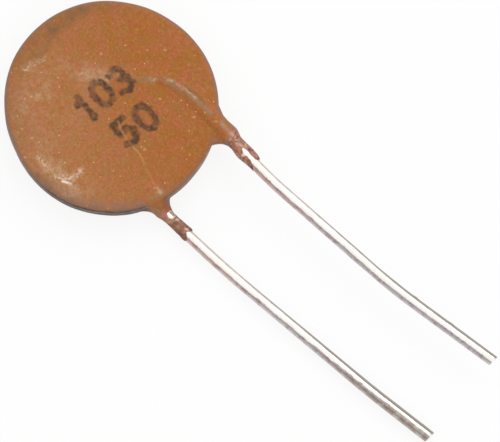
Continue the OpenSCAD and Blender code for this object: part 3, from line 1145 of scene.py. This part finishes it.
class CoatPaint:
    """Soil, marks and edge tints of the coat, as masks on its vertices."""

    # Dust to the left of the stamp, by the near edge and along the hook of the ridge
    dust_marks: Marks = (
        Blot((-2.45, 0.2), (1.0, 0.6), 35, 0.90), Blot((-1.25, 0.9), (0.5, 0.35), 35, 0.9),
        Blot((-2.85, -2.15), (0.9, 0.8), 60, 0.62), Blot((-2.7, -2.4), (2.0, 1.5), 60, 0.40),
        Blot((0.3, -4.3), (1.6, 0.55), 0, 0.75), Blot((1.45, -4.85), (0.55, 0.32), 20, 0.8),
        Blot((4.70, -2.15), (0.45, 0.4), 0, 0.3), Blot((-4.3, -0.9), (0.5, 0.9), 0, 0.08),
        Blot((4.96, -1.92), (0.15, 0.12), 0, 1.4), Blot((4.86, -2.25), (0.32, 0.24), 0, 0.7),
        Blot((1.50, 2.79), (0.22, 0.12), 15, 0.9), Blot((0.15, -5.46), (0.35, 0.14), 0, 0.6),
        Stroke(
            ((-3.22, 0.09), (-2.31, 0.30), (-1.27, 0.70), (-0.5, 1.35), (0.3, 2.0), (0.95, 2.45)),
            0.16, 0.22, 0.5,
        ),
        Stroke(NECK_STREAK, 0.09, 0.13, 1.1),
    )
    # Stains by the far left edge and the near edge, and a line of painted shadow on the far side of the
    # ridge's crest
    stain_and_shade_marks: Marks = (
        Stroke(((-4.96, 0.95), (-4.73, 1.33), (-4.55, 1.75), (-4.41, 2.2)), 0.10, 0.30, 0.66),
        Stroke(((-4.6, -0.4), (-4.65, 0.1), (-4.6, 0.8)), 0.20, 0.45, 0.40),
        Stroke(((-4.35, 2.95), (-4.05, 3.25), (-3.6, 3.7)), 0.06, 0.22, 0.20),
        Stroke(((-4.35, 2.75), (-4.05, 3.35), (-3.55, 3.60)), 0.15, 0.40, 0.40),
        Stroke(((-0.5, -5.27), (0.0, -5.37), (0.4, -5.40)), 0.12, 0.16, 0.70),
        # Painted shadow along the far side of the front ridge's crest
        Stroke(((2.34, 3.24), (2.79, 3.27), (3.36, 3.23), (3.85, 3.12)), 0.04, 0.06, 0.75),
    )
    # Crest of the ridge from its bend to the neck, and the scuff on the left
    worn_marks: Marks = (
        Stroke(
            (
                (1.53, 2.85), (1.78, 2.93), (2.06, 2.96), (2.39, 3.01), (2.84, 3.02), (3.18, 3.02),
                (3.53, 3.00), (3.97, 2.99), (4.30, 2.93),
            ),
            0.12, 0.13,
        ),
        Stroke(((1.46, 2.78), (1.66, 2.77), (2.1, 2.83), (2.6, 2.92)), 0.12, 0.14, 0.65),
        Stroke(LEFT_SCUFF, 0.14, 0.16, 0.42),
        Stroke(((0.5, 2.1), (0.95, 2.48), (1.52, 2.85)), 0.12, 0.18, 0.5),
        Stroke(((5.06, 2.96), (5.43, 2.85), (5.72, 2.82), (6.1, 2.72)), 0.14, 0.18, 0.5),
    )
    # Scuffs on the left and by the near edge, which break up into smears
    smeared_marks: Marks = (
        Stroke(LEFT_SCUFF, 0.14, 0.14, 0.60),
        Stroke(
            (
                (-1.01, -4.55), (-0.4, -4.65), (0.12, -4.70), (0.48, -4.65), (0.80, -4.47),
                (0.98, -4.12), (1.05, -3.70),
            ),
            0.12, 0.26, 0.85,
        ),
    )
    # Painted highlight along the crest, which breaks up into dashes
    crest_highlight_marks: Marks = (
        Stroke(
            (
                (1.58, 2.93), (2.05, 3.05), (2.30, 3.12), (2.61, 3.08), (2.86, 3.11), (3.14, 3.09),
                (3.40, 3.06),
            ),
            0.03, 0.06, 0.6,
        ),
    )
    # Spots that are rubbed evenly
    rubbed_marks: Marks = (
        Stroke(((0.72, 2.30), (0.95, 2.45)), 0.04, 0.06, 0.6),
        Stroke(((1.52, 2.86), (1.68, 2.91)), 0.06, 0.07, 0.30),
        Stroke(NECK_STREAK, 0.05, 0.09, 0.14),
    )
    scratch: Marks = (
        Stroke(
            (
                (0.87, -0.43), (1.35, -0.72), (1.91, -0.9), (2.9, -1.06), (3.30, -1.27), (3.69, -1.5),
                (4.15, -1.66), (4.95, -1.98),
            ),
            0.02, 0.045,
        ),
    )
    specks: Marks = blots(
        1.0, (0.06, 0.05), 20, (3.77, 2.25), (4.81, 2.78), (1.8, 1.86), (-0.66, -4.67),
        (-1.61, -4.98), (0.34, 4.03), (-2.08, 1.73), (2.89, -0.71), (-1.98, -3.98), (4.70, -1.83),
        (-0.95, 0.86),
    )
    # Painted highlights: the short dash by the near edge, the glint on the front sleeve and bits on the
    # crest; and pale crumbs by the near edge
    chip_and_highlight_marks: Marks = (
        Stroke(((0.69, -4.72), (0.97, -4.59)), 0.045, 0.04),
        Blot((7.02, 2.31), (0.08, 0.06), 45),
        *(Blot(centre, (0.07, 0.055), 45, strength) for centre, strength in CRUMBS),
        Blot((4.96, -1.92), (0.12, 0.10), 0, 0.22),
        *strokes(
            0.03, 0.05, 0.24, ((1.55, 2.92), (1.69, 2.99)), ((1.97, 3.00), (2.17, 3.00)),
            ((2.37, 3.00), (2.40, 3.00)), ((2.58, 3.07), (2.75, 3.05)), ((3.10, 3.08), (3.22, 3.07)),
        ),
        Stroke(NECK_STREAK, 0.03, 0.08, 0.08),
    )
    # Reddish places on the two sleeves
    flush_marks: Marks = (
        *blots(0.95, (0.17, 0.15), 0, (5.68, -2.62), (5.84, -2.56), (6.20, -2.32)),
        *blots(0.7, (0.14, 0.10), 0, (6.50, 2.42), (6.68, 2.36)),
        *blots(0.6, (0.15, 0.12), 0, (7.12, -2.60), (6.72, -2.34)),
        *blots(0.3, (0.12, 0.09), 0, (5.88, 2.96)),
    )
    # Olive places on the rear sleeve and web
    moss_marks: Marks = (
        *blots(0.8, (0.16, 0.10), 0, (6.50, -2.48), (6.82, -2.50)),
        *blots(0.6, (0.20, 0.16), 0, (5.05, -2.15), (4.86, -2.40)),
        *blots(1.0, (0.20, 0.15), 0, (5.42, -2.70), (5.62, -2.76)),
    )
    # Painted highlights: the glint round the rear pit, and flecks of sheen on the sleeves
    glint_ring: Marks = (Stroke(((6.035, -2.315), (6.035, -2.315)), 0.21, 0.03),)
    glint_flecks: Marks = (
        *blots(0.65, (0.09, 0.06), 0, (6.45, -2.30), (7.14, -2.37)),
        *blots(0.30, (0.10, 0.07), 0, (6.42, 2.62), (6.62, 2.62)),
    )
    # Painted shade under the front lead's web
    web_shadow_marks: Marks = (
        Stroke(((5.40, 2.09), (5.63, 2.18), (5.86, 2.24), (6.10, 2.30)), 0.05, 0.08, 1.1),
    )
    # Plum streak of painted shadow behind the crest, and the bruise on the front neck
    bruise_and_shadow_marks: Marks = (
        Stroke(((2.66, 3.20), (3.09, 3.22)), 0.04, 0.05, 0.7),
        Stroke(((5.78, 3.10), (5.95, 2.97), (6.12, 2.86)), 0.09, 0.09, 1.5),
    )
    # Where the thin coat of each sleeve begins, and how its start leans across the wire
    sleeve_starts: tuple[tuple[LeadPath, float, float], ...] = (
        (FRONT_PATH, 5.2, 0.25), (REAR_PATH, 5.75, 0.0),
    )

    def __init__(self, body: CoatedBody, points: np.ndarray, normals: np.ndarray) -> None:
        """Keeps the places that are painted, and where each lies on the body."""
        self.points = points
        self.brush = Brush(points)
        self.rough_brush = Brush(points, 0.09)
        self.height = points[:, 2] - body.half_t
        self.reach = np.hypot(points[:, 0], points[:, 1])
        self.inset = body.edge_reach(points) - self.reach
        self.front = ease(self.height, 0.1, 0.5)
        self.upright = np.abs(normals[:, 2])
        self.facing_up = ease(normals[:, 2], -0.1, 0.2)

    def apply(self, mesh: bpy.types.Mesh) -> None:
        """Stores every mask on the mesh."""
        thin, lip = self.sleeves()
        masks = {
            "dust": self.dust(), "stain_and_shade": self.stain_and_shade() * self.front, "veil_and_shade": self.veil_and_shade(),
            "worn": self.worn() * self.front, "scuff_and_highlight": self.scuffs_and_highlight() * self.front,
            "chip_and_highlight": self.brush.most(self.chip_and_highlight_marks) * self.front, "ink": self.ink() * self.front,
            "score": self.scores() * self.front, "crease": self.crease_shading(), "thin": thin, "lip": lip,
            "rim_wall_shade": self.rim_wall_shade(), "flush": self.flush() * self.facing_up,
            "painted_glint": self.painted_glints() * self.facing_up, "moss": self.moss() * self.facing_up,
        }
        for name, channels in MASKS.items():
            set_layer(mesh, name, [masks[channel] for channel in channels])

    def wave(self, level: float, swing: float, per_mm: float, seed: float, octaves: int) -> np.ndarray:
        """Cloudy strength: a level, and a grain that swings about it."""
        return level + swing * grain(self.points, per_mm, seed, octaves)

    def patches(self, per_mm: float, seed: float, octaves: int, low: float, high: float) -> np.ndarray:
        """Patchy strength: a grain that rises from 0 to 1 between two of its values."""
        return ease(grain(self.points, per_mm, seed, octaves), low, high)

    def sector(self, start: float, end: float, fade_in: float, fade_out: float) -> np.ndarray:
        """The stretch of rim between two directions, in degrees, that fades in and out inside it."""
        turn, length = (heading(self.points) - start) % 360.0, end - start
        return ease(turn, 0.0, fade_in) * ease(turn, length, length - fade_out)

    def off_leads(self) -> np.ndarray:
        """How far each place lies across from the nearer lead's outward stretch."""
        local = [in_run(self.points, path) for path in (FRONT_PATH, REAR_PATH)]
        return np.minimum(*(np.abs(p[:, 1]) + 9.0 * (p[:, 0] < 3.5) for p in local))

    def shaded_rim(self) -> np.ndarray:
        """The stretch of rim, clear of the leads, where shade is painted."""
        return self.sector(-114.0, -8.0, 36.0, 18.0) * ease(self.off_leads(), 0.28, 0.80)

    def dust(self) -> np.ndarray:
        """Pale dust, thicker to the left of the stamp and by the near edge."""
        cloud = grain(self.points, 0.8, 7.0, 4)
        lean = 0.35 * ease(self.points[:, :2] @ (-0.45, -0.89), -3.0, 5.0)
        # Less dust by the left rim, which leaves that edge darker as painted shade
        lean *= 1.0 - 0.45 * ease(self.inset, 1.6, 0.5) * self.sector(150.0, 250.0, 20.0, 30.0)
        spots = self.brush.total(self.dust_marks) * ease(cloud, -0.6, 0.5)
        return (lean + spots) * self.front + 0.22 * (1 - self.front) * ease(cloud, -0.2, 0.6)

    def stain_and_shade(self) -> np.ndarray:
        """Grey-green stains by the far left edge and the near edge, with painted shade along the far and
        left rim and beside the ridge.
        """
        found = self.rough_brush.total(self.stain_and_shade_marks)
        # Painted shade: darker bands along the far rim and the left rim
        found += 0.30 * ease(self.inset, 0.90, 0.20) * self.sector(108.0, 205.0, 25.0, 40.0)
        found += 0.20 * ease(self.inset, 1.60, 0.50) * self.sector(130.0, 262.0, 20.0, 25.0)
        wave = self.wave(level=0.75, swing=0.4, per_mm=1.6, seed=8.0, octaves=4)
        return found * np.clip(wave, 0.0, 1.2)

    def worn(self) -> np.ndarray:
        """Coat rubbed thin along the crest of the front ridge and on its neck."""
        wave = self.wave(level=0.93, swing=0.4, per_mm=1.7, seed=9.0, octaves=4)
        return self.rough_brush.most(self.worn_marks) * np.clip(wave, 0.0, 1.0)

    def scuffs_and_highlight(self) -> np.ndarray:
        """Pale rubbed places on the face and the crackled patch by the near edge, with a painted
        highlight along the ridge's crest.
        """
        smears = 0.35 + 0.65 * self.patches(per_mm=2.0, seed=30.0, octaves=4, low=-0.25, high=0.25)
        smeared = self.rough_brush.most(self.smeared_marks) * smears
        dashes = self.patches(per_mm=1.3, seed=25.0, octaves=3, low=-0.25, high=0.2)
        crest = self.rough_brush.most(self.crest_highlight_marks) * dashes
        return np.maximum.reduce([smeared, crest, self.rough_brush.most(self.rubbed_marks)])

    def ink(self) -> np.ndarray:
        """The stamp, worn in patches."""
        wear = self.wave(level=0.0, swing=0.9, per_mm=1.6, seed=5.0, octaves=4)
        wear += self.wave(level=0.0, swing=0.5, per_mm=5.0, seed=6.0, octaves=3)
        return self.rough_brush.most(Stamp().marks()) * (0.62 + 0.38 * ease(wear, -0.5, 0.1))

    def scores(self) -> np.ndarray:
        """The hairline scratch, which fades towards the rim, and a few pale specks."""
        along = 0.20 + 0.55 * self.patches(per_mm=1.2, seed=11.0, octaves=3, low=-0.55, high=0.1)
        fading = 0.45 + 0.55 * ease(self.points[:, 0], 4.1, 3.4)
        scratch = self.brush.most(self.scratch) * along * fading
        return np.maximum(scratch, self.brush.most(self.specks))

    def flush(self) -> np.ndarray:
        """Reddish coat round the rear sleeve's pit and beside the front window."""
        wave = self.wave(level=0.75, swing=0.5, per_mm=4.0, seed=33.0, octaves=3)
        return self.rough_brush.most(self.flush_marks) * np.clip(wave, 0.0, 1.0)

    def painted_glints(self) -> np.ndarray:
        """Painted highlights: a glint round the rear pit, and a few flecks of sheen on the sleeves."""
        return np.maximum(self.brush.most(self.glint_ring), self.rough_brush.most(self.glint_flecks))

    def moss(self) -> np.ndarray:
        """Olive patches on the rear sleeve and where the webs leave the face."""
        wave = self.wave(level=0.7, swing=0.6, per_mm=3.6, seed=34.0, octaves=3)
        return self.rough_brush.most(self.moss_marks) * np.clip(wave, 0.0, 1.0)

    def veil_and_shade(self) -> np.ndarray:
        """Mauve-grey film and painted shade: on the shoulder all round, wider along the shaded stretch of
        rim, on steep sides and under the front web.
        """
        flecks = 0.45 + 0.55 * self.patches(per_mm=4.5, seed=27.0, octaves=3, low=-0.3, high=0.2)
        clear = ease(self.off_leads(), 0.3, 0.7)
        clear *= 1.0 - 0.55 * self.sector(-2.0, 30.0, 20.0, 4.0)
        clear *= 1.0 - 0.5 * self.sector(-26.0, -10.0, 5.0, 6.0)
        # The painted shade thins down the wall towards the back face, sooner on the side away from the
        # camera
        away = ease(self.points[:, :2] @ (-0.64, 0.77) / self.reach, -0.2, 0.3)
        clear *= 0.35 + 0.65 * ease(self.height - 0.38 * away, -0.35, 0.12)
        shoulder = 0.95 * ease(self.inset, 0.28, 0.0) * clear
        wide = 0.80 * ease(self.inset, 0.85, 0.15) * self.shaded_rim() * flecks
        # Painted shade on steep sides
        steep = 0.35 * ease(self.upright, 0.55, 0.20) * (self.inset < 0.3) * clear
        under = self.brush.most(self.web_shadow_marks)
        cloud = self.wave(level=0.85, swing=0.45, per_mm=1.5, seed=12.0, octaves=3)
        return np.maximum.reduce([shoulder, wide, steep, under]) * cloud

    def rim_wall_shade(self) -> np.ndarray:
        """Painted shade: brown-purple darkening on the wall of the near rim."""
        wall = ease(self.inset, 0.22, 0.06) * ease(self.height, 0.70, 0.52)
        side = 0.52 * self.sector(-28.0, 4.0, 8.0, 14.0)
        wave = self.wave(level=0.86, swing=0.3, per_mm=2.2, seed=22.0, octaves=3)
        return wall * np.maximum(self.shaded_rim(), side) * wave

    def crease_shading(self) -> np.ndarray:
        """Painted shade: dark lines in the rim's crease and along its lower edge."""
        upper = np.exp(-(((self.height - 0.42) / 0.08) ** 2))
        lower = 0.85 * ease(self.height, 0.22, 0.02)
        wall = ease(self.inset, 0.22, 0.08) * self.shaded_rim()
        cloud = self.wave(level=0.80, swing=0.7, per_mm=1.6, seed=24.0, octaves=4)
        return np.maximum(upper, lower) * wall * np.clip(cloud, 0.0, 1.0)

    def sleeves(self) -> tuple[np.ndarray, np.ndarray]:
        """Thin mottled coat towards the sleeves' ends, and its red-brown patches and sides, with a plum
        streak of painted shadow behind the ridge's crest.
        """
        thin, lip = np.zeros(len(self.points)), self.rough_brush.most(self.bruise_and_shadow_marks)
        cloud = grain(self.points, 2.6, 13.0, 4)
        for path, start, lean in self.sleeve_starts:
            local = in_run(self.points, path)
            along = local[:, 0] + lean * local[:, 1]
            away = np.hypot(local[:, 1], local[:, 2])
            aside = ease(np.abs(local[:, 1]) / np.maximum(away, 1e-6), 0.35, 0.85)
            by = ease(along + 0.2 * cloud, start, start + 0.55) * (away < 1.6)
            thin = np.maximum(thin, 0.90 * by)
            sides = aside * ease(along, start + 0.2, start + 0.8)
            lip = np.maximum(lip, by * (0.30 + 0.5 * sides + 0.5 * cloud))
        return thin, lip


# ---- Leads ----


@dataclass(frozen=True)
class Lead:
    """A tinned wire lead with a slightly uneven surface and a sheared tip."""

    name: str
    path: LeadPath
    wire_r: float = 0.3
    segments: int = 40
    step: float = 0.12
    cap_rim: float = 0.03
    cap_rise: float = 0.012
    # Thicker tin by the tip, and where along the part it sets in and is full
    swell: float = 0.0
    swell_at: Point2 = (12.0, 23.0)
    # Burrs on the outer side: place along the part and height
    burrs: tuple[Point2, ...] = ()
    burr_length: float = 0.14
    slant: float = 0.045
    slant_length: float = 0.5
    film_end: float = 7.6
    copper_length: float = 7.0
    dull_end: float = 0.0

    def build(self, material: bpy.types.Material) -> bpy.types.Object:
        """Makes the lead.

        Args:
            material: the wire's finish.

        Returns:
            The finished piece.
        """
        place = self.path.placement()
        stations = [place @ m for m in self.path.buried(self.step) + self.path.outside(self.step)]
        bm = bmesh.new()
        across = stations[0] @ Matrix.Rotation(math.radians(90), 4, "Y")
        ring = bmesh.ops.create_circle(bm, segments=self.segments, radius=self.wire_r, matrix=across)
        sweep_along(bm, ring["verts"], stations)
        caps = [f for f in bm.faces if len(f.verts) == self.segments]
        bmesh.ops.inset_region(bm, faces=caps, thickness=self.cap_rim, depth=self.cap_rise)
        bmesh.ops.recalc_face_normals(bm, faces=bm.faces)
        mesh = made_mesh(self.name, bm)
        points = vectors(mesh.vertices, "co")
        centres = np.array([s.translation for s in stations])
        centres = np.array([centres[np.argmin(((centres - p) ** 2).sum(1))] for p in points])
        points = self.uneven(points, centres)
        set_places(mesh, points)
        self.paint(mesh, points, centres)
        return finished(self.name, mesh, material)

    def uneven(self, points: np.ndarray, centres: np.ndarray) -> np.ndarray:
        """Adds the drawn wire's small waves, the thicker tin near its tip and its burrs.

        Args:
            points: vertex places in millimetres.
            centres: the wire's centre beside each vertex.

        Returns:
            The new places.
        """
        off, x = points - centres, centres[:, 0]
        wave = 0.006 * grain(points, 0.5, 14.0, 3) + 0.003 * grain(points, 2.5, 15.0, 2)
        wave += self.swell * ease(x, *self.swell_at)
        for where, size in self.burrs:
            length = np.exp(-(((points[:, 0] - where) / self.burr_length) ** 2))
            wave += size * ease(off[:, 1], 0.1, 0.3) * length
        moved_out = centres + off * (1.0 + wave / self.wire_r)[:, None]
        slant = ease(x, x.max() - self.slant_length, x.max()) * self.slant * off[:, 1] / self.wire_r
        moved_out[:, 0] += slant
        return moved_out

    def paint(self, mesh: bpy.types.Mesh, points: np.ndarray, centres: np.ndarray) -> None:
        """Stores the film of coating, the coppery tint, the dull band's growth towards the tip, and the
        place round the wire, which sets where the painted reflection lies.

        Args:
            mesh: the lead's mesh.
            points: vertex places in millimetres.
            centres: the wire's centre beside each vertex.
        """
        x, side = centres[:, 0], (points - centres)[:, 1] / self.wire_r
        jitter = 0.25 * grain(points, 2.2, 16.0, 4)
        film = ease(x + jitter, self.film_end, self.film_end - 0.3) * ease(np.abs(side), 0.35, 0.9)
        close = ease(x + 3 * jitter, self.film_end + self.copper_length, self.film_end)
        far = self.dull_end * ease(x + 2 * jitter, 13.0, 22.0)
        set_layer(mesh, "wear", (film, close, far))
        set_layer(mesh, "round", (0.5 + 0.5 * side, ease(x, 12.0, 22.0)))


# ---- Studio ----


@dataclass(frozen=True)
class Studio:
    """Pale table, even sky, soft lamp and a long lens."""

    azimuth: float = 39.8
    elevation: float = 78.5
    distance: float = 260.0
    px_per_mm: float = 19.2
    frame_px: tuple[int, int] = (500, 442)
    centre_px: Point2 = (110.4, 107.4)
    sensor: float = 36.0
    aim_z: float = 0.85
    floor_z: float = -0.20
    floor_half: float = 900.0
    floor: Colour = (0.93, 0.93, 0.93)
    white: Colour = (1.0, 1.0, 1.0)
    # How far the table shows plain white to straight rays
    glow: float = 0.86
    sky_white: Colour = (0.97, 0.97, 0.97)
    # Dimmer screen of the sky, and the directions along Y between which it sets in
    screen: Colour = (0.62, 0.58, 0.57)
    screen_at: Point2 = (-0.45, -0.80)
    # The lamp's size, place and aim, in metres
    lamp_size: Point2 = (0.30, 0.20)
    lamp_at: tuple[float, float, float] = (-0.05, 0.22, 0.30)
    lamp_aim: tuple[float, float, float] = (0.008, 0.0, 0.0)
    lamp_watts: float = 0.22

    def build(self) -> None:
        """Makes the table, the sky, the lamp and the camera."""
        bpy.context.scene.view_settings.view_transform = "Standard"
        self.table()
        self.sky()
        self.lamp()
        self.camera()

    def table(self) -> None:
        """A wide pale plane that keeps the part's shadow."""
        bm = bmesh.new()
        bmesh.ops.create_grid(bm, x_segments=8, y_segments=8, size=self.floor_half * MM)
        bmesh.ops.translate(bm, vec=(0, 0, self.floor_z * MM), verts=bm.verts)
        table = Finish("pale_table")
        table.set(Base_Color=self.floor, Roughness=0.9, Specular_IOR_Level=0.1)
        glow = table.node("Emission", {"Color": self.white}).outputs[0]
        seen = table.times(table.straight_rays(), self.glow)
        mix = table.node("MixShader", {"Fac": seen, 1: table.shader.outputs[0], 2: glow})
        table.link(mix.outputs[0], table.tree.nodes["Material Output"].inputs["Surface"])
        mesh = made_mesh("table_top", bm)
        mesh.materials.append(table.material)
        linked(bpy.data.objects.new("table_top", mesh))

    def sky(self) -> None:
        """An even white sky with a dimmer screen on the near side, which the wires mirror."""
        world = bpy.data.worlds.new("studio_sky")
        bpy.context.scene.world = world
        world.use_nodes = True
        sky = Nodes(world.node_tree)
        way = sky.node("TexCoord", {}).outputs["Generated"]
        screen = sky.span(sky.node("SeparateXYZ", {0: way}).outputs["Y"], *self.screen_at)
        camera_ray = sky.node("LightPath", {}).outputs["Is Camera Ray"]
        hidden = sky.math("SUBTRACT", screen, camera_ray, use_clamp=True)
        white = sky.layer(self.sky_white, self.white, sky.straight_rays())
        colour = sky.layer(white, self.screen, hidden)
        sky.link(colour, sky.tree.nodes["Background"].inputs["Color"])

    def lamp(self) -> None:
        """A soft box over the far side."""
        data = bpy.data.lights.new("soft_box", "AREA")
        data.shape = "RECTANGLE"
        data.size, data.size_y = self.lamp_size
        data.energy = self.lamp_watts
        lamp = linked(bpy.data.objects.new("soft_box", data))
        lamp.location = self.lamp_at
        aim = Vector(self.lamp_aim) - lamp.location
        lamp.rotation_euler = aim.to_track_quat("-Z", "Y").to_euler()

    def camera(self) -> None:
        """A long lens over the near side, turned so that the body sits at the top left."""
        a, e = math.radians(self.azimuth), math.radians(self.elevation)
        back = Vector((math.sin(a) * math.cos(e), -math.cos(a) * math.cos(e), math.sin(e)))
        right = Vector((math.cos(a), math.sin(a), 0))
        body = Vector((0, 0, self.aim_z))
        eye = body + back * self.distance
        width, height = self.frame_px
        off_x = (width / 2 - self.centre_px[0]) / self.px_per_mm
        off_y = (self.centre_px[1] - height / 2) / self.px_per_mm
        z = (eye - (body + right * off_x + back.cross(right) * off_y)).normalized()
        x = (right - z * right.dot(z)).normalized()
        turn = Matrix((x, z.cross(x), z)).transposed()
        data = bpy.data.cameras.new("camera")
        data.sensor_width = self.sensor
        data.lens = self.sensor * self.px_per_mm * self.distance / width
        data.clip_start, data.clip_end = 0.01, 10.0
        camera = linked(bpy.data.objects.new("camera", data))
        camera.matrix_world = Matrix.Translation(eye * MM) @ turn.to_4x4()
        bpy.context.scene.camera = camera


# ---- Putting it together ----


@dataclass(frozen=True)
class Capacitor:
    """The whole part: its coat, its leads and what the coat seals in."""

    body: CoatedBody = CoatedBody()
    front: Lead = Lead("front_lead_wire", FRONT_PATH, burrs=((18.6, 0.03), (20.9, 0.025)), film_end=7.7)
    rear: Lead = Lead("rear_lead_wire", REAR_PATH, swell=0.03, film_end=7.45, dull_end=1.0)
    # Finishes of the sealed pieces, and the nodes that have each
    inner: tuple[tuple[InnerFinish, tuple[str, ...]], ...] = (
        (
            InnerFinish("fired_ceramic", (0.62, 0.50, 0.35), (0.50, 0.38, 0.25), 0.55, 0.0, 3.0),
            ("ceramic_disc",),
        ),
        (
            InnerFinish("fired_silver", (0.80, 0.79, 0.76), (0.62, 0.61, 0.59), 0.40, 1.0, 5.0),
            ("front_electrode", "rear_electrode"),
        ),
        (
            InnerFinish("dull_solder", (0.60, 0.60, 0.61), (0.42, 0.42, 0.44), 0.35, 1.0, 4.0),
            ("front_solder", "rear_solder"),
        ),
    )

    def build(self) -> None:
        """Builds every piece and says what it stands for."""
        self.dress_inner()
        self.hand_over(self.body.build(), "coating", "dip_coating")
        wire = TinnedWire().build()
        self.hand_over(self.front.build(wire), "front_lead", "tinned_wire")
        self.hand_over(self.rear.build(wire), "rear_lead", "tinned_wire")

    def dress_inner(self) -> None:
        """Gives the sealed solids their finishes."""
        for finish, nodes in self.inner:
            material = finish.build()
            for node in nodes:
                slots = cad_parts[node].data.materials
                slots.clear()
                slots.append(material)
                log.info("%s keeps its solid", node)

    @staticmethod
    def hand_over(piece: bpy.types.Object, node: str, slot: str) -> None:
        """Puts a new piece in its solid's place and reports it."""
        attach(piece, "root")
        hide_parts(node)
        log.info("%s: %d faces, for %s", piece.name, len(piece.data.polygons), node)


def main() -> None:
    """Builds the studio and the part."""
    logging.basicConfig(level=logging.INFO, format="%(message)s")
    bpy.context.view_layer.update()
    Studio().build()
    Capacitor().build()


if __name__ == "__main__":
    main()
